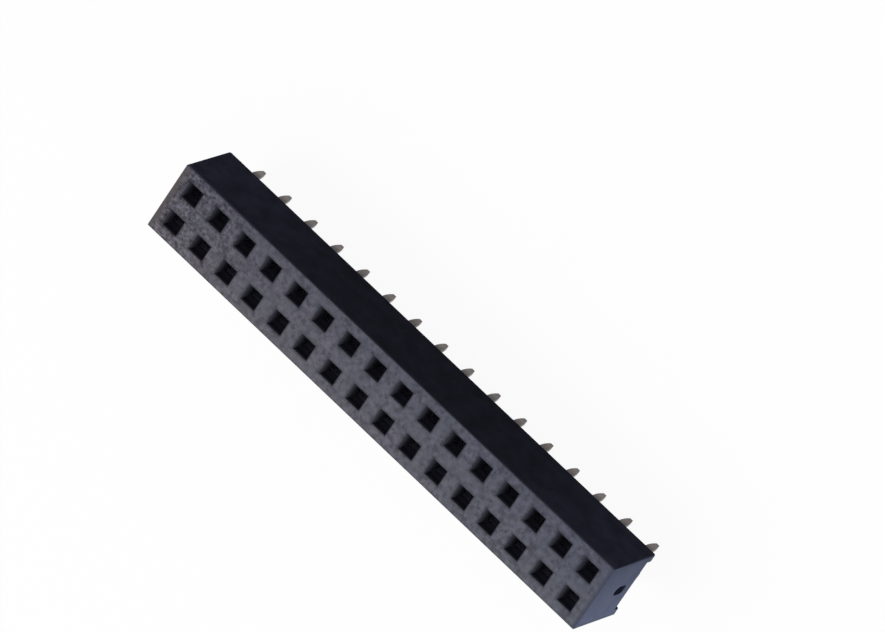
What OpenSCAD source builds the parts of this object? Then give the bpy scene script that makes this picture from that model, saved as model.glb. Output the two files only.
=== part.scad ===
// Female pin header strip: a moulded housing with two rows of square sockets and one folded contact
// in each. It stands the way it is soldered to a board: the tails point down, the sockets face up,
// and the origin is the middle of the plane on which the two standoff rails rest.

/* [Layout] */
// Contacts in each row
positions = 16; // [2:1:24]
// Distance between neighbouring contacts of a row
pitch = 2.0; // [1.8:0.05:2.6]
// Distance between the two rows of contacts
row_pitch = 2.0; // [1.9:0.05:2.3]

/* [Housing] */
// Distance from the last contact of a row to the end face
end_margin = 1.2; // [1.1:0.05:2.4]
// Width across the two long sides
body_w = 4.3; // [4.1:0.05:5.4]
// Height from the plane of the rails to the mating face
body_h = 4.3; // [3.9:0.1:8]
// Radius of the four upright corners
corner_r = 0.06; // [0.04:0.01:0.3]
// Radius at both ends of the rails, where they meet the board
foot_r = 0.15; // [0.05:0.01:0.35]
// Thickness of the two long walls, which reach down to the board as rails
side_t = 0.46; // [0.35:0.01:0.6]
// Height by which the ribs and the end walls stay clear of the board
rail_h = 0.48; // [0.2:0.02:0.6]
// Thickness of the web between the two rows of cavities
web_t = 0.48; // [0.3:0.02:0.6]
// Thickness of the ribs between neighbouring cavities
rib_t = 0.42; // [0.25:0.01:0.55]
// Thickness of the mating face, which is the depth of the square sockets
face_t = 1.1; // [0.6:0.05:1.6]
// Width of the square sockets
socket_w = 0.94; // [0.7:0.01:1.1]
// Width of the chamfer round the mouth of each socket
lead_in = 0.07; // [0.02:0.01:0.1]
// Width of the oblong gate mark in the end face
gate_w = 0.62; // [0.4:0.02:0.8]
// Height of the gate mark, from its lower to its upper end
gate_h = 1.0; // [0.9:0.02:1.4]
// Depth of the gate mark
gate_depth = 0.25; // [0.05:0.01:0.28]
// Distance from the plane of the rails to the middle of the gate mark
gate_z = 1.64; // [1.3:0.02:3]

/* [Contact] */
// Thickness of the sheet metal
sheet_t = 0.2; // [0.12:0.01:0.22]
// Radius of the tight folds, at the middle of the sheet
fold_r = 0.16; // [0.12:0.01:0.2]
// Gap between the side walls of a contact and the ribs of the housing
side_gap = 0.1; // [0.05:0.01:0.14]
// Gap between the base plate of a contact and the long wall of the housing
back_gap = 0.03; // [0.01:0.01:0.08]
// Gap between the free edges of a contact and the web of the housing
free_gap = 0.2; // [0.1:0.01:0.3]
// Width of the spring arms
arm_w = 0.5; // [0.3:0.02:0.7]
// Radius of the bends in the spring arms, at the middle of the sheet
arm_r = 0.3; // [0.15:0.01:0.4]
// Angle at which the spring arms close in
arm_angle = 18; // [12:1:30]
// Gap between the spring arms where they grip a pin
grip_gap = 0.4; // [0.3:0.02:0.5]
// Angle of the lips that guide a pin in
lip_angle = 30; // [15:1:40]
// Length of the straight end of the lips
lip_l = 0.15; // [0.05:0.01:0.25]
// Gap between the lips and the mating face's inner side
lip_gap = 0.2; // [0.08:0.01:0.4]
// Height of the notch that frees the tail from the side walls
notch_h = 0.36; // [0.3:0.02:0.5]
// Length of the heel at the free edge of each side wall
heel_l = 0.52; // [0.3:0.02:0.6]
// Height by which the heels stand out past the ribs
heel_h = 0.12; // [0.05:0.01:0.18]
// Height of the barbs that hold a contact in its cavity
barb_h = 0.24; // [0.15:0.01:0.35]
// Width of the barbs
barb_w = 0.3; // [0.2:0.02:0.5]
// Distance from the ribs' lower edge up to the barbs
barb_z = 0.4; // [0.2:0.02:0.6]

/* [Tail] */
// Length of the tails below the plane of the rails
tail_l = 2.9; // [2.2:0.05:6]
// Width of the tails
tail_w = 0.46; // [0.35:0.01:0.56]
// Length of the pointed end of the tails
tip_l = 0.75; // [0.4:0.05:1.2]
// Width of the blunt tip
tip_w = 0.2; // [0.08:0.01:0.24]
// Angle of the slanted stretch that brings the tails back to the grid
jog_angle = 62; // [50:1:70]
// Height of the middle of the slanted stretch above the plane of the rails
jog_z = 0.14; // [0.1:0.01:0.2]

/* [Hidden] */
ROWS = ["a", "b"];
function contact_name(row, i) = str("contact_", row, i < 10 ? "0" : "", i);
$fn = 48;
// Overshoot of cutting shapes past the faces that they cut
cut = 0.5;

body_l = (positions - 1) * pitch + 2 * end_margin;
// Cavity behind each socket: its width, its two long sides and its ceiling
cavity_w = pitch - rib_t;
cavity_in = web_t / 2;
cavity_out = body_w / 2 - side_t;
ceiling_z = body_h - face_t;

// A contact is drawn about its own grid point, with +Y towards the long wall of the housing
wall_x = cavity_w / 2 - side_gap - sheet_t / 2;
plate_y = cavity_out - back_gap - sheet_t / 2 - row_pitch / 2;
free_y = cavity_in + free_gap - row_pitch / 2;
// Outer side of the upper part of the cavity: its ledge stops the base plate
ledge_y = min(plate_y, socket_w / 2);

// Spring arm: the straight stretch that closes the gap, the height of the whole arm, and the
// height of its root, which is also that of the ledge
grip_x = (grip_gap + sheet_t) / 2;
arm_l = (wall_x - grip_x - 2 * arm_r * (1 - cos(arm_angle))) / sin(arm_angle);
arm_h = (2 * sin(arm_angle) + sin(lip_angle)) * arm_r + arm_l * cos(arm_angle) + lip_l * cos(lip_angle);
root_z = ceiling_z - lip_gap - arm_h;

// Tail: the slanted stretch and the heights at which it starts and ends
jog_l = (plate_y - 2 * fold_r * (1 - cos(jog_angle))) / sin(jog_angle);
jog_h = 2 * fold_r * sin(jog_angle) + jog_l * cos(jog_angle);
jog_top = jog_z + jog_h / 2;
notch_z = rail_h + notch_h;
// Radius of the curved sides of the pointed end
tip_side = (tail_w - tip_w) / 2;
tip_r = (tip_l * tip_l + tip_side * tip_side) / (2 * tip_side);

// Places its children once at each grid point, turned so that +Y is outwards
module at_contact(row, i) {
    side = row == "a" ? 1 : -1;
    translate([(i - (positions + 1) / 2) * pitch, side * row_pitch / 2, 0])
        rotate([0, 0, row == "a" ? 0 : 180])
            children();
}

// Straight stretch of sheet that runs up from the origin; its children carry on from its end
module leg(length, width) {
    translate([-width / 2, -sheet_t / 2, 0])
        cube([width, sheet_t, length]);
    translate([0, 0, length])
        children();
}

// Fold of a sheet that runs up from the origin, towards +Y for a positive angle
module fold(angle, width, radius) {
    side = sign(angle);
    translate([0, side * radius, 0]) {
        rotate([90, 0, -90 * side])
            rotate_extrude(angle = abs(angle))
                translate([radius - sheet_t / 2, -width / 2])
                    square([sheet_t, width]);
        rotate([-angle, 0, 0])
            translate([0, -side * radius, 0])
                children();
    }
}

// Outline of the housing seen from above
module body_outline() {
    square([body_l - 2 * corner_r, body_w], center = true);
    square([body_l, body_w - 2 * corner_r], center = true);
    for (x = [-1, 1], y = [-1, 1])
        translate([x * (body_l / 2 - corner_r), y * (body_w / 2 - corner_r)])
            circle(corner_r);
}

// Outline of the housing seen from a long side
module side_outline() {
    translate([-body_l / 2, foot_r])
        square([body_l, body_h - foot_r]);
    translate([foot_r - body_l / 2, 0])
        square([body_l - 2 * foot_r, foot_r]);
    for (x = [-1, 1])
        translate([x * (body_l / 2 - foot_r), foot_r])
            circle(foot_r);
}

// Outline of the gate mark, with its long way along X
module gate_outline() {
    reach = (gate_h - gate_w) / 2;
    square([2 * reach, gate_w], center = true);
    for (x = [-1, 1])
        translate([x * reach, 0])
            circle(d = gate_w);
}

// Flared mouth of a socket, as the shape that both of its side views share
module mouth() {
    outline = [[-socket_w / 2, -lead_in], [socket_w / 2, -lead_in],
               [socket_w / 2 + lead_in + cut, cut], [-socket_w / 2 - lead_in - cut, cut]];
    reach = socket_w + 2 * (lead_in + cut);
    intersection() {
        rotate([90, 0, 0])
            linear_extrude(reach, center = true)
                polygon(outline);
        rotate([90, 0, 90])
            linear_extrude(reach, center = true)
                polygon(outline);
    }
}

// Everything that is open for one contact: mouth, square socket and stepped cavity
module contact_space() {
    inner_y = cavity_in - row_pitch / 2;
    translate([0, 0, body_h])
        mouth();
    translate([-socket_w / 2, -socket_w / 2, ceiling_z - cut])
        cube([socket_w, socket_w, face_t + cut]);
    translate([-cavity_w / 2, inner_y, 0])
        cube([cavity_w, ledge_y - inner_y, ceiling_z]);
    translate([-cavity_w / 2, inner_y, 0])
        cube([cavity_w, cavity_out - cavity_in, root_z]);
}

module housing() {
    color([0.13, 0.13, 0.15])
        difference() {
            intersection() {
                linear_extrude(body_h)
                    body_outline();
                rotate([90, 0, 0])
                    linear_extrude(body_w + 2 * cut, center = true)
                        side_outline();
            }
            // Open channel between the rails, from end to end
            translate([-body_l / 2 - cut, -cavity_out, -cut])
                cube([body_l + 2 * cut, 2 * cavity_out, rail_h + cut]);
            for (row = ROWS, i = [1:positions])
                at_contact(row, i)
                    contact_space();
            translate([body_l / 2 - gate_depth, 0, gate_z])
                rotate([0, 90, 0])
                    linear_extrude(gate_depth + cut)
                        gate_outline();
        }
}

// Base plate and side walls, seen along the tails
module channel_outline() {
    corner_x = wall_x - fold_r;
    corner_y = plate_y - fold_r;
    translate([-corner_x, plate_y - sheet_t / 2])
        square([2 * corner_x, sheet_t]);
    for (side = [-1, 1]) {
        translate([side * wall_x - sheet_t / 2, free_y])
            square([sheet_t, corner_y - free_y]);
        translate([side * corner_x, corner_y])
            intersection() {
                difference() {
                    circle(fold_r + sheet_t / 2);
                    circle(fold_r - sheet_t / 2);
                }
                translate([side > 0 ? 0 : -fold_r - sheet_t, 0])
                    square(fold_r + sheet_t);
            }
    }
}

// Folded channel with the notch that frees the tail, and the heels
module channel() {
    inner_x = wall_x - sheet_t / 2;
    difference() {
        translate([0, 0, rail_h])
            linear_extrude(root_z - rail_h)
                channel_outline();
        translate([-inner_x, plate_y - fold_r, rail_h - cut])
            cube([2 * inner_x, fold_r + sheet_t, notch_h + cut]);
    }
    for (side = [-1, 1])
        translate([side * wall_x - sheet_t / 2, free_y, rail_h - heel_h])
            cube([sheet_t, heel_l, heel_h]);
}

// Barb on the outer side of a side wall, square at its lower end and sloped towards the front
module barb() {
    flat = barb_h / 4;
    translate([0, barb_w / 2, 0])
        rotate([90, 0, 0])
            linear_extrude(barb_w)
                polygon([[0, 0], [side_gap, 0], [side_gap, flat], [0, barb_h]]);
}

// Spring arm that closes in on the pin and opens again into a lip
module spring_arm() {
    fold(arm_angle, arm_w, arm_r)
        leg(arm_l, arm_w)
            fold(-arm_angle, arm_w, arm_r)
                fold(-lip_angle, arm_w, arm_r)
                    leg(lip_l, arm_w);
}

// Outline of the tail below the slanted stretch, with its pointed end
module tail_outline(length) {
    shank = length - tip_l;
    translate([-tail_w / 2, 0])
        square([tail_w, shank]);
    translate([0, shank])
        intersection() {
            translate([-tail_w / 2, 0])
                square([tail_w, tip_l]);
            translate([tail_w / 2 - tip_r, 0])
                circle(tip_r);
            translate([tip_r - tail_w / 2, 0])
                circle(tip_r);
        }
}

// Strip that leaves the base plate, slants back to the grid point and ends as the solder tail
module tail() {
    translate([0, plate_y, notch_z])
        rotate([0, 180, 0])
            leg(notch_z - jog_top, tail_w)
                fold(-jog_angle, tail_w, fold_r)
                    leg(jog_l, tail_w)
                        fold(jog_angle, tail_w, fold_r)
                            translate([0, sheet_t / 2, 0])
                                rotate([90, 0, 0])
                                    linear_extrude(sheet_t)
                                        tail_outline(tail_l + jog_top - jog_h);
}

module contact() {
    color([0.83, 0.74, 0.52]) {
        channel();
        tail();
        for (side = [-1, 1]) {
            translate([side * wall_x, 0, root_z])
                rotate([0, 0, side * 90])
                    spring_arm();
            translate([side * (wall_x + sheet_t / 2), 0, rail_h + barb_z])
                rotate([0, 0, side > 0 ? 0 : 180])
                    barb();
        }
    }
}

housing();
for (row = ROWS, i = [1:positions])
    at_contact(row, i) contact();
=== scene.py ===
import bpy
from mathutils import Matrix, Vector


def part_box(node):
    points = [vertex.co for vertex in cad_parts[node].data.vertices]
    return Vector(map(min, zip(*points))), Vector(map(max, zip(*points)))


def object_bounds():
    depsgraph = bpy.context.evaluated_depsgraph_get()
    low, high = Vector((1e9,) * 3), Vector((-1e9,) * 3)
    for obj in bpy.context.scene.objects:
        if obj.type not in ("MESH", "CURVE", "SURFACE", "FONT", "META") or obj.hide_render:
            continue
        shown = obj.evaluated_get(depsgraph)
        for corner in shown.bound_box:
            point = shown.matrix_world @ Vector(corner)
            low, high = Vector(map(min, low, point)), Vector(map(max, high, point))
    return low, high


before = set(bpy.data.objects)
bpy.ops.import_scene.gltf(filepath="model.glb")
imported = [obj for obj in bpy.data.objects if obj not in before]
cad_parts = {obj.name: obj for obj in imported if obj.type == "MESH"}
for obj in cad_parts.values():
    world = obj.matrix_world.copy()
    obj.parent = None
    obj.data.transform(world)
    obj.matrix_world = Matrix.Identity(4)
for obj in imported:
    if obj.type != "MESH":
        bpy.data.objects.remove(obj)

MM = 0.001
CAD_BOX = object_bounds()

# The photograph's frame, and where the middle of the mating face lies in it, in pixels
IMAGE_W, IMAGE_H = 885, 632
FACE_PIXEL = (379.2, 395.9)
# Camera: the direction from the strip towards it, the direction that is upwards in the picture,
# its distance from the mating face, and how many pixels one millimetre takes there
TO_CAMERA = Vector((0.2973, 0.4563, 0.8387))
PICTURE_UP = Vector((-0.6563, 0.7356, -0.1676))
CAMERA_DISTANCE = 794.3 * MM
PIXELS_PER_MM = 19.02
# Width of the camera's sensor in millimetres, and the nearest and farthest it sees in metres
SENSOR_W = 36.0
CLIP_NEAR, CLIP_FAR = 0.05, 20.0

# The white ground: its half width in metres, its colour as a matt surface, and how much of it is
# plain white to the eye
FLOOR_SIZE = 1.5
FLOOR_COLOR = (0.92, 0.92, 0.92)
FLOOR_WHITE = 0.93
WHITE = (1.0, 1.0, 1.0, 1.0)
# Light: the strength of the surroundings, and the place, width, power and colour of two lamps,
# in metres and watts
WORLD_STRENGTH = 0.55
TOP_LAMP = ((-0.14, -0.14, 0.38), 0.30, 0.9, (1.0, 0.99, 0.97))
END_LAMP = ((0.40, -0.05, 0.10), 0.25, 0.35, (0.82, 0.90, 1.0))

# Edges of the moulding and of the stamped sheet are rounded by this much, where two faces meet at
# more than the sharp angle. First, corners nearer than the weld gap are joined, and so are faces
# that meet at less than the flat angle. Angles are in radians
HOUSING_EDGE = 0.035 * MM
SHEET_EDGE = 0.02 * MM
EDGE_SEGMENTS = 2
WELD_GAP = 0.0005 * MM
FLAT_ANGLE = 0.005
SHARP_ANGLE = 0.7

# Colours of the mating face, a lit copy of the black plastic: mottle, grain and clouds, tints that
# multiply it from the -Y to the +Y side, a painted light gradient, and from the -X to the +X end,
# and its edges: painted shade at the +X end and a warmer band at the -X end
FACE_DARK, FACE_PALE = (0.070, 0.069, 0.091), (0.160, 0.157, 0.201)
FACE_GRAIN, FACE_CLOUD = (0.087, 0.087, 0.104), (0.101, 0.113, 0.138)
FACE_LIT_TINT, FACE_SHADED_TINT = (1.14, 1.11, 1.04), (0.88, 0.89, 0.91)
FACE_LEFT, FACE_RIGHT = (1.05, 1.01, 1.00), (0.91, 0.955, 0.995)
NEAR_EDGE_SHADE, FAR_EDGE = (0.066, 0.072, 0.105), (0.103, 0.089, 0.095)
# Colours of the side towards the board, of the long sides and of the ends, with their top edges,
# and of the gate
# mark. They are painted light: lit and shaded copies of the one black plastic, paler towards the
# board, nearly black on the long sides, bluish grey on the ends, with a painted highlight along the
# long sides' top edges, painted shade along the ends' top edges and painted shade in the gate mark
BOARD_DARK, BOARD_PALE = (0.193, 0.188, 0.208), (0.243, 0.236, 0.258)
SIDE_DARK, SIDE_PALE = (0.0053, 0.0055, 0.0101), (0.0094, 0.0097, 0.0177)
SIDE_EDGE_HIGHLIGHT = (0.024, 0.025, 0.034)
END_DARK, END_PALE = (0.091, 0.105, 0.163), (0.111, 0.123, 0.189)
END_EDGE_SHADE = (0.084, 0.093, 0.148)
GATE = (0.022, 0.027, 0.056)
# Colours inside the moulding, painted light and shade: socket walls that face along Y, painted
# shade at the mouth and paler deeper, socket walls that face along X, and the walls of the
# cavities, lifted pale by painted light
MOUTH_SIDE_SHADE, DEEP_SIDE_LIFTED = (0.016, 0.016, 0.024), (0.065, 0.065, 0.100)
INNER_END = (0.060, 0.061, 0.078)
CAVITY = (0.20, 0.20, 0.29)
# Colours of the contacts: rolled faces, with stains and streaks, slanted faces, cut faces, and the
# parts that sit deep in the housing, painted paler as painted light
ROLLED, ROLLED_STAIN = (0.150, 0.131, 0.126), (0.090, 0.075, 0.072)
ROLLED_STREAK = (0.205, 0.184, 0.174)
SLANTED, CUT = (0.34, 0.305, 0.215), (0.42, 0.385, 0.335)
SUNK_PAINTED_LIGHT = (0.26, 0.23, 0.18)

# Noises: the scale, the detail and the roughness of each. The streaks on the contacts are drawn
# out along Z by a smaller scale there
CLOUDS = (900.0, 3.0, 0.6)
MOTTLE = (3600.0, 2.5, 0.55)
SPECKS = (5200.0, 2.0, 0.6)
GRAIN = (13000.0, 2.0, 0.5)
STAINS = (1500.0, 3.0, 0.55)
STREAKS = (14000.0, 3.0, 0.6)
STREAK_STRETCH = (1.0, 1.0, 0.12)

# Ramps over the noises: the values between which each runs and what it gives at them, where that
# isn't 0 and 1
CLOUD_RAMP = (0.35, 0.65)
FACE_CLOUD_RAMP = (0.42, 0.58, 0.0, 0.4)
MOTTLE_RAMP = (0.34, 0.68)
GRAIN_RAMP = (0.30, 0.70, 0.0, 0.40)
SPECK_RAMP = (0.34, 0.66, 0.34, 1.44)
STAIN_RAMP = (0.35, 0.68)
STREAK_RAMP = (0.40, 0.62, 0.0, 0.35)
PLASTIC_ROUGHNESS = (0.3, 0.7, 0.48, 0.66)
METAL_ROUGHNESS = (0.3, 0.7, 0.26, 0.40)
# The plastic's specular level: nearly none, because its long sides are almost black at a slant
PLASTIC_GLOSS = 0.008
# Relief: the strength and the height of each bump
GRAIN_RELIEF = (0.25, 0.006 * MM)
MOTTLE_RELIEF = (0.30, 0.020 * MM)
STREAK_RELIEF = (0.25, 0.003 * MM)

# Which way a face looks, which picks its painted light: ramps over the size of its normal along X
# for the ends, and along Z for the mating face and for the slanted and cut faces of the contacts.
# The ramp for the side towards the board runs over the normal's own Z, which is less than nothing
# there
END_TURN = (0.5, 0.9)
FACE_TURN = (0.80, 0.96)
BOARD_TURN = (0.0, -0.5)
SLANTED_TURN = (0.35, 0.75)
CUT_TURN = (0.93, 0.99)

# Distance between neighbouring sockets, how far their rims of painted shade lie towards the -X end,
# and the ramp over the distance from a socket's middle that paints that shade
PITCH = 2.0 * MM
MOUTH_SHIFT = 0.03 * MM
RIM_SHADE_RAMP = (0.53 * MM, 0.68 * MM, 0.62, 1.0)
# Bands along the edges of the moulding: how far short of the edge each starts and ends, with a
# minus sign at the
# -X end, and the tones there if the band shades. The near band and the bands on the sides of the
# mating face and on the ends are painted shade, the band along the long sides' top a painted
# highlight. Below the last one, the skin, a wall counts as inside
NEAR_SHADE_BAND = (0.26 * MM, 0.04 * MM)
FAR_BAND = (-0.55 * MM, -0.05 * MM)
FACE_SIDE_SHADE_BAND = (0.12 * MM, 0.02 * MM, 1.0, 0.73)
SIDE_TOP_HIGHLIGHT_BAND = (0.18 * MM, 0.02 * MM)
END_TOP_SHADE_BAND = (0.60 * MM, 0.04 * MM)
END_SIDE_SHADE_BAND = (0.30 * MM, 0.03 * MM, 1.0, 0.84)
SKIN_BAND = (0.05 * MM, 0.10 * MM)
# Slow changes: where the specks of the face begin, as a part of the half length, where the long
# sides begin to turn paler and their tone at the ends, and the tones of the ends at -Y and at +Y,
# which are painted light
SPECKS_FROM = -0.5
SIDE_PALES_FROM, SIDE_PALES_TO = 0.4, 1.7
END_LIGHT_TONES = (1.20, 0.80)
# Depths under the mating face: soft upper and lower limits of the sockets' deeper colour and of the
# cavities' colour, both painted light
SOCKET_LIMITS = ((0.35 * MM, 0.8 * MM), (1.6 * MM, 1.3 * MM))
CAVITY_LIMITS = ((1.09 * MM, 1.11 * MM), (2.8 * MM, 2.2 * MM))
# Gate mark: the height of its middle, and the soft limits of its painted shade, as a distance from
# there and as a depth in the end
GATE_HEIGHT = 1.64 * MM
GATE_REACH = (0.9 * MM, 0.8 * MM)
GATE_DEPTH = (0.33 * MM, 0.29 * MM)
# Ramps over the height on a contact: where slanted and cut faces turn pale, the tones of the tail's
# tip and of its shank, whose darker tone is painted shade and reflection of the housing, and how
# far the spring arms have their own colour, painted light
PALE_RAMP = (-0.5 * MM, -0.2 * MM)
TIP_RAMP = (-2.9 * MM, -2.5 * MM, 0.88, 1.0)
SHANK_SHADE_RAMP = (-2.45 * MM, -2.05 * MM, 1.0, 0.5)
ARM_RAMP = (1.5 * MM, 2.6 * MM, 0.0, 0.7)

# Sockets of Blender's Mix node when it mixes colours
MIX_FACTOR, MIX_A, MIX_B, MIX_RESULT = 0, 6, 7, 2

HOUSING_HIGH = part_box("housing")[1]
CONTACTS = sorted(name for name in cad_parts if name.startswith("contact_"))


def new_material(name):
    """A new material, its node tree and its Principled shader."""
    material = bpy.data.materials.new(name)
    material.use_nodes = True
    tree = material.node_tree
    return material, tree, tree.nodes["Principled BSDF"]


def add(tree, kind, **values):
    """A new node with its properties and input sockets set by name."""
    node = tree.nodes.new(kind)
    for name, value in values.items():
        if name in node.inputs:
            node.inputs[name].default_value = value
        else:
            setattr(node, name, value)
    return node


def feed(tree, socket, value):
    """Sets an input socket to a number or a colour, or links it to an output."""
    if isinstance(value, float):
        socket.default_value = value
    elif isinstance(value, tuple):
        socket.default_value = (*value, 1.0)
    else:
        tree.links.new(value, socket)


def noise(tree, coords, scale, detail, roughness):
    """Noise over the object's own coordinates, with features of about one over scale metres."""
    node = add(tree, "ShaderNodeTexNoise", Scale=scale, Detail=detail, Roughness=roughness)
    tree.links.new(coords, node.inputs["Vector"])
    return node.outputs["Fac"]


def ramp(tree, value, low, high, to_low=0.0, to_high=1.0):
    """value mapped from low..high to to_low..to_high, clamped. low may be the larger one."""
    node = tree.nodes.new("ShaderNodeMapRange")
    tree.links.new(value, node.inputs["Value"])
    node.inputs["From Min"].default_value = low
    node.inputs["From Max"].default_value = high
    node.inputs["To Min"].default_value = to_low
    node.inputs["To Max"].default_value = to_high
    return node.outputs["Result"]


def short_of(tree, place, edge, start, end, *tones):
    """A ramp over a coordinate, from start short of an edge to end short of it."""
    return ramp(tree, place, edge - start, edge - end, *tones)


def combine(tree, operation, a, b=0.0):
    """The result of a sum on two outputs, or on an output and a number."""
    node = add(tree, "ShaderNodeMath", operation=operation)
    feed(tree, node.inputs[0], a)
    feed(tree, node.inputs[1], b)
    return node.outputs[0]


def mix_color(tree, factor, a, b, blend="MIX"):
    """Colour a turning into b as factor goes from 0 to 1. a and b are colours or outputs."""
    node = add(tree, "ShaderNodeMix", data_type="RGBA", blend_type=blend)
    feed(tree, node.inputs[MIX_FACTOR], factor)
    feed(tree, node.inputs[MIX_A], a)
    feed(tree, node.inputs[MIX_B], b)
    return node.outputs[MIX_RESULT]


def shade(tree, color, tone):
    """A colour multiplied by a tone or a tint, which is an output near 1."""
    return mix_color(tree, 1.0, color, tone, "MULTIPLY")


def part_of(tree, output, axis):
    """The surface's Normal or its place in the Object, along one axis of the object."""
    coords = tree.nodes.new("ShaderNodeTexCoord")
    split = tree.nodes.new("ShaderNodeSeparateXYZ")
    tree.links.new(coords.outputs[output], split.inputs[0])
    return split.outputs[axis]


def size_of(tree, output, axis):
    """The same without its sign, so that both sides of the object are alike."""
    return combine(tree, "ABSOLUTE", part_of(tree, output, axis))


def bump(tree, height, strength, distance, under=None):
    """A normal bent by height, in metres, on top of another normal."""
    node = add(tree, "ShaderNodeBump", Strength=strength, Distance=distance)
    tree.links.new(height, node.inputs["Height"])
    if under is not None:
        tree.links.new(under, node.inputs["Normal"])
    return node.outputs["Normal"]


def white_rays(tree):
    """1 for the rays that meet plain white: the camera's own, mirrored and refracted ones."""
    path = tree.nodes.new("ShaderNodeLightPath")
    seen = combine(tree, "MAXIMUM", path.outputs["Is Camera Ray"], path.outputs["Is Glossy Ray"])
    return combine(tree, "MAXIMUM", seen, path.outputs["Is Transmission Ray"])


def from_socket(tree):
    """The larger of the distances along X and Y from the middle of the nearest socket."""
    along = combine(tree, "ADD", part_of(tree, "Object", "X"), MOUTH_SHIFT)
    along = combine(tree, "PINGPONG", along, 0.5 * PITCH)
    along = combine(tree, "SUBTRACT", 0.5 * PITCH, along)
    across = combine(tree, "SUBTRACT", size_of(tree, "Object", "Y"), 0.5 * PITCH)
    return combine(tree, "MAXIMUM", along, combine(tree, "ABSOLUTE", across))


def between(tree, limits):
    """1 between two soft limits under the mating face, and 0 above and below them."""
    z_place, top_z = part_of(tree, "Object", "Z"), HOUSING_HIGH[2]
    upper, lower = (short_of(tree, z_place, top_z, *limit) for limit in limits)
    return combine(tree, "MULTIPLY", upper, lower)


def face_color(tree, coords, clouds, mottle, grain):
    """The mating face, a lit copy of the plastic: mottled, speckled near the -X end, with painted
    light across it and painted shade round sockets and at edges.
    """
    end_x, side_y, _ = HOUSING_HIGH
    x_place, y_place = part_of(tree, "Object", "X"), part_of(tree, "Object", "Y")
    color = mix_color(tree, ramp(tree, mottle, *MOTTLE_RAMP), FACE_DARK, FACE_PALE)
    color = mix_color(tree, ramp(tree, clouds, *FACE_CLOUD_RAMP), color, FACE_CLOUD)
    color = mix_color(tree, ramp(tree, grain, *GRAIN_RAMP), color, FACE_GRAIN)
    # Painted light across the face: paler and warmer at -Y, darker at +Y
    tint = mix_color(tree, ramp(tree, y_place, -side_y, side_y), FACE_LIT_TINT, FACE_SHADED_TINT)
    color = shade(tree, color, tint)
    # Painted shade round the mouth of each socket
    color = shade(tree, color, ramp(tree, from_socket(tree), *RIM_SHADE_RAMP))
    tint = mix_color(tree, ramp(tree, x_place, -end_x, end_x), FACE_LEFT, FACE_RIGHT)
    color = shade(tree, color, tint)
    specks = ramp(tree, noise(tree, coords, *SPECKS), *SPECK_RAMP)
    speckled = ramp(tree, x_place, SPECKS_FROM * end_x, -end_x)
    color = mix_color(tree, speckled, color, specks, "MULTIPLY")
    # Painted shade along the +X edge of the mating face
    color = mix_color(tree, short_of(tree, x_place, end_x, *NEAR_SHADE_BAND), color, NEAR_EDGE_SHADE)
    color = mix_color(tree, short_of(tree, x_place, -end_x, *FAR_BAND), color, FAR_EDGE)
    # Painted shade along the sides of the mating face
    y_size = size_of(tree, "Object", "Y")
    return shade(tree, color, short_of(tree, y_size, side_y, *FACE_SIDE_SHADE_BAND))


def side_color(tree, clouds):
    """The long sides, a shaded copy of the plastic: very dark, with a painted highlight along the
    mating face, and a little paler towards the ends.
    """
    end_x, _, top_z = HOUSING_HIGH
    x_size, z_place = size_of(tree, "Object", "X"), part_of(tree, "Object", "Z")
    color = mix_color(tree, ramp(tree, clouds, *CLOUD_RAMP), SIDE_DARK, SIDE_PALE)
    # Painted highlight along the top edge of the long side
    color = mix_color(tree, short_of(tree, z_place, top_z, *SIDE_TOP_HIGHLIGHT_BAND), color, SIDE_EDGE_HIGHLIGHT)
    paling = ramp(tree, x_size, SIDE_PALES_FROM * end_x, end_x, 1.0, SIDE_PALES_TO)
    return shade(tree, color, paling)


def end_color(tree, clouds):
    """The ends, a lit bluish copy of the plastic: painted shade along their edges, and painted
    light that is darker towards the +Y side.
    """
    _, side_y, top_z = HOUSING_HIGH
    y_place, y_size = part_of(tree, "Object", "Y"), size_of(tree, "Object", "Y")
    z_place = part_of(tree, "Object", "Z")
    color = mix_color(tree, ramp(tree, clouds, *CLOUD_RAMP), END_DARK, END_PALE)
    # Painted shade along the top and side edges of the end
    color = mix_color(tree, short_of(tree, z_place, top_z, *END_TOP_SHADE_BAND), color, END_EDGE_SHADE)
    color = shade(tree, color, short_of(tree, y_size, side_y, *END_SIDE_SHADE_BAND))
    # Painted light: the end is paler towards -Y and darker towards +Y
    return shade(tree, color, ramp(tree, y_place, -side_y, side_y, *END_LIGHT_TONES))


def gate_shade_mask(tree, coords, below_skin):
    """1 in the gate mark, painted shade as dark at its bottom as on its walls, and 0 elsewhere."""
    end_x = HOUSING_HIGH[0]
    reach = add(tree, "ShaderNodeVectorMath", operation="DISTANCE")
    tree.links.new(coords, reach.inputs[0])
    reach.inputs[1].default_value = (end_x, 0.0, GATE_HEIGHT)
    near = ramp(tree, reach.outputs["Value"], *GATE_REACH)
    shallow = short_of(tree, size_of(tree, "Object", "X"), end_x, *GATE_DEPTH)
    return combine(tree, "MULTIPLY", combine(tree, "MULTIPLY", near, below_skin), shallow)


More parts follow.
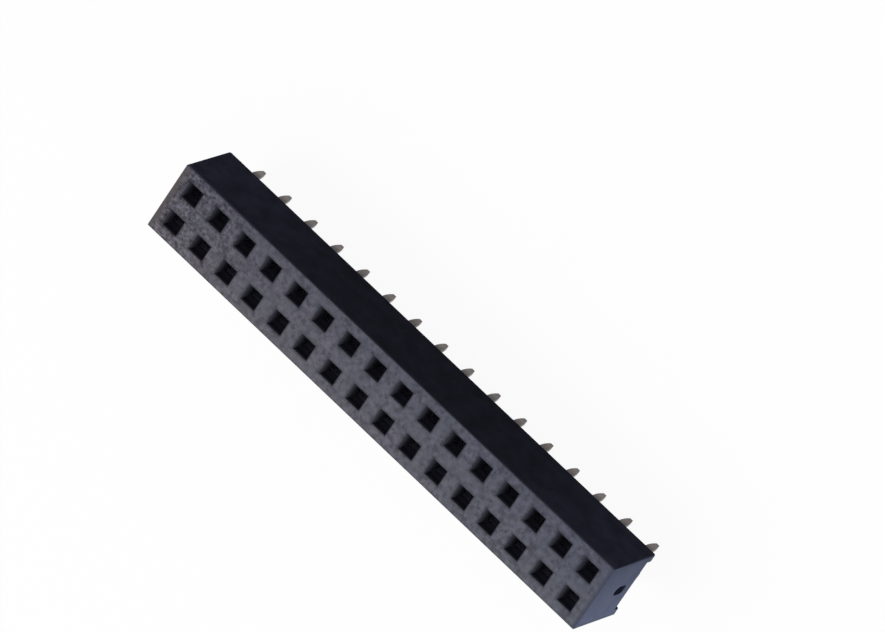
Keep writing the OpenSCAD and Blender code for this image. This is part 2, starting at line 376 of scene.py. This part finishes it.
def housing_material():
    """Black thermoplastic with painted light by which way a face looks: mottled grey mating face,
    nearly black long sides, paler bluish ends.
    """
    material, tree, shader = new_material("housing_plastic")
    coords = tree.nodes.new("ShaderNodeTexCoord").outputs["Object"]
    clouds = noise(tree, coords, *CLOUDS)
    mottle = noise(tree, coords, *MOTTLE)
    grain = noise(tree, coords, *GRAIN)
    end_x, side_y, _ = HOUSING_HIGH

    face = face_color(tree, coords, clouds, mottle, grain)
    # Painted light: the side towards the board is a paler copy of the plastic
    board = mix_color(tree, ramp(tree, clouds, *CLOUD_RAMP), BOARD_DARK, BOARD_PALE)
    face = mix_color(tree, ramp(tree, part_of(tree, "Normal", "Z"), *BOARD_TURN), face, board)

    # Inside the moulding the walls are neither as dark as its long sides nor as blue as its ends:
    # painted shade at the socket mouths, painted light deeper down and in the cavities
    deep_x = short_of(tree, size_of(tree, "Object", "X"), end_x, *SKIN_BAND)
    deep_y = short_of(tree, size_of(tree, "Object", "Y"), side_y, *SKIN_BAND)
    inside = combine(tree, "MINIMUM", deep_x, deep_y)
    cavity = between(tree, CAVITY_LIMITS)
    wall = mix_color(tree, between(tree, SOCKET_LIMITS), MOUTH_SIDE_SHADE, DEEP_SIDE_LIFTED)
    wall = mix_color(tree, cavity, wall, CAVITY)
    side = mix_color(tree, inside, side_color(tree, clouds), wall)
    wall = mix_color(tree, cavity, INNER_END, CAVITY)
    end = mix_color(tree, inside, end_color(tree, clouds), wall)

    # Painted light by which way a face looks: grey mating face, near black long sides, bluish ends
    color = mix_color(tree, ramp(tree, size_of(tree, "Normal", "X"), *END_TURN), side, end)
    color = mix_color(tree, ramp(tree, size_of(tree, "Normal", "Z"), *FACE_TURN), color, face)
    # Painted shade in the recess of the gate mark
    color = mix_color(tree, gate_shade_mask(tree, coords, deep_x), color, GATE)
    tree.links.new(color, shader.inputs["Base Color"])
    roughness = ramp(tree, mottle, *PLASTIC_ROUGHNESS)
    tree.links.new(roughness, shader.inputs["Roughness"])
    shader.inputs["Specular IOR Level"].default_value = PLASTIC_GLOSS
    relief = bump(tree, mottle, *MOTTLE_RELIEF, bump(tree, grain, *GRAIN_RELIEF))
    tree.links.new(relief, shader.inputs["Normal"])
    return material


def contact_material():
    """Plated copper alloy: stained rolled faces, with paler slanted and cut faces, painted shade on
    the tails' shanks and painted light on the spring arms.
    """
    material, tree, shader = new_material("contact_metal")
    coords = tree.nodes.new("ShaderNodeTexCoord").outputs["Object"]
    stretch = add(tree, "ShaderNodeMapping")
    stretch.inputs["Scale"].default_value = STREAK_STRETCH
    tree.links.new(coords, stretch.inputs["Vector"])
    streaks = noise(tree, stretch.outputs[0], *STREAKS)
    stains = noise(tree, coords, *STAINS)
    z_place = part_of(tree, "Object", "Z")
    level = size_of(tree, "Normal", "Z")

    color = mix_color(tree, ramp(tree, stains, *STAIN_RAMP), ROLLED, ROLLED_STAIN)
    color = mix_color(tree, ramp(tree, streaks, *STREAK_RAMP), color, ROLLED_STREAK)
    # Slanted plates and cut ends are paler; the blunt tips of the tails aren't
    not_tail = ramp(tree, z_place, *PALE_RAMP)
    slanted = combine(tree, "MULTIPLY", ramp(tree, level, *SLANTED_TURN), not_tail)
    cut = combine(tree, "MULTIPLY", ramp(tree, level, *CUT_TURN), not_tail)
    color = mix_color(tree, slanted, color, SLANTED)
    color = mix_color(tree, cut, color, CUT)
    color = shade(tree, color, ramp(tree, z_place, *TIP_RAMP))
    # Painted shade and reflection of the housing on the tail's shank
    color = shade(tree, color, ramp(tree, z_place, *SHANK_SHADE_RAMP))
    # Painted light: the spring arms sit in the shade of the housing, and are painted paler so that
    # they still show
    color = mix_color(tree, ramp(tree, z_place, *ARM_RAMP), color, SUNK_PAINTED_LIGHT)
    tree.links.new(color, shader.inputs["Base Color"])
    shader.inputs["Metallic"].default_value = 1.0
    roughness = ramp(tree, streaks, *METAL_ROUGHNESS)
    tree.links.new(roughness, shader.inputs["Roughness"])
    relief = bump(tree, streaks, *STREAK_RELIEF)
    tree.links.new(relief, shader.inputs["Normal"])
    return material


def round_edges(obj, width):
    """Welds a CAD mesh and rounds its sharp edges, as modifiers that leave the mesh as it is."""
    weld = obj.modifiers.new("weld", "WELD")
    weld.merge_threshold = WELD_GAP
    planes = obj.modifiers.new("planes", "DECIMATE")
    planes.decimate_type = "DISSOLVE"
    planes.angle_limit = FLAT_ANGLE
    bevel = obj.modifiers.new("bevel", "BEVEL")
    bevel.width = width
    bevel.segments = EDGE_SEGMENTS
    bevel.limit_method = "ANGLE"
    bevel.angle_limit = SHARP_ANGLE
    bevel.harden_normals = False
    bevel.use_clamp_overlap = True
    normals = obj.modifiers.new("normals", "WEIGHTED_NORMAL")
    normals.keep_sharp = False


def dress(name, material, edge):
    """Gives a CAD node its material and its rounded edges."""
    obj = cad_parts[name]
    obj.data.materials.clear()
    obj.data.materials.append(material)
    round_edges(obj, edge)


def mix_shaders(tree, factor, a, b, output):
    """Shader a turning into b as factor goes from 0 to 1, sent to a new output node."""
    mixer = tree.nodes.new("ShaderNodeMixShader")
    tree.links.new(factor, mixer.inputs[0])
    tree.links.new(a.outputs[0], mixer.inputs[1])
    tree.links.new(b.outputs[0], mixer.inputs[2])
    tree.links.new(mixer.outputs[0], tree.nodes.new(output).inputs["Surface"])


def floor_material():
    """Matt white that still looks nearly plain white, with faint shadows on it."""
    material = bpy.data.materials.new("floor_white")
    material.use_nodes = True
    tree = material.node_tree
    tree.nodes.clear()
    matt = add(tree, "ShaderNodeBsdfDiffuse", Color=(*FLOOR_COLOR, 1.0))
    white = add(tree, "ShaderNodeEmission", Color=WHITE, Strength=1.0)
    plain = combine(tree, "MULTIPLY", white_rays(tree), FLOOR_WHITE)
    mix_shaders(tree, plain, matt, white, "ShaderNodeOutputMaterial")
    return material


def make_floor():
    """A plain white floor at the tips of the tails, which keeps a faint shadow of the strip."""
    z = CAD_BOX[0][2]
    mesh = bpy.data.meshes.new("floor")
    signs = ((-1, -1), (1, -1), (1, 1), (-1, 1))
    mesh.from_pydata([(x * FLOOR_SIZE, y * FLOOR_SIZE, z) for x, y in signs], [], [(0, 1, 2, 3)])
    floor = bpy.data.objects.new("floor", mesh)
    bpy.context.scene.collection.objects.link(floor)
    mesh.materials.append(floor_material())


def make_world():
    """Even white surroundings that light softly and look white."""
    world = bpy.data.worlds.new("surroundings")
    bpy.context.scene.world = world
    world.use_nodes = True
    tree = world.node_tree
    tree.nodes.clear()
    light = add(tree, "ShaderNodeBackground", Color=WHITE, Strength=WORLD_STRENGTH)
    white = add(tree, "ShaderNodeBackground", Color=WHITE, Strength=1.0)
    mix_shaders(tree, white_rays(tree), light, white, "ShaderNodeOutputWorld")


def make_lamp(name, place, width, power, color):
    """A square soft lamp that faces the middle of the strip."""
    data = bpy.data.lights.new(name, "AREA")
    data.shape = "SQUARE"
    data.size = width
    data.energy = power
    data.color = color
    lamp = bpy.data.objects.new(name, data)
    bpy.context.scene.collection.objects.link(lamp)
    lamp.location = place
    lamp.rotation_euler = (-Vector(place)).to_track_quat("-Z", "Y").to_euler()


def make_camera():
    """The photograph's camera: a very long lens, rolled so that the strip runs downwards."""
    data = bpy.data.cameras.new("camera")
    data.sensor_width = SENSOR_W
    focal_pixels = PIXELS_PER_MM / MM * CAMERA_DISTANCE
    data.lens = focal_pixels / IMAGE_W * SENSOR_W
    data.clip_start = CLIP_NEAR
    data.clip_end = CLIP_FAR
    camera = bpy.data.objects.new("camera", data)
    bpy.context.scene.collection.objects.link(camera)
    back = TO_CAMERA.normalized()
    right = PICTURE_UP.cross(back).normalized()
    up = back.cross(right)
    face = Vector((0.0, 0.0, HOUSING_HIGH[2]))
    off_right = (FACE_PIXEL[0] - IMAGE_W / 2) / PIXELS_PER_MM * MM
    off_up = (IMAGE_H / 2 - FACE_PIXEL[1]) / PIXELS_PER_MM * MM
    stand = face + back * CAMERA_DISTANCE - right * off_right - up * off_up
    turn = Matrix((right, up, back)).transposed().to_4x4()
    camera.matrix_world = Matrix.Translation(stand) @ turn
    bpy.context.scene.camera = camera


make_camera()
plastic = housing_material()
metal = contact_material()
dress("housing", plastic, HOUSING_EDGE)
for contact in CONTACTS:
    dress(contact, metal, SHEET_EDGE)
make_floor()
make_world()
make_lamp("top_lamp", *TOP_LAMP)
make_lamp("end_lamp", *END_LAMP)

view = bpy.context.scene.view_settings
view.view_transform = "Standard"
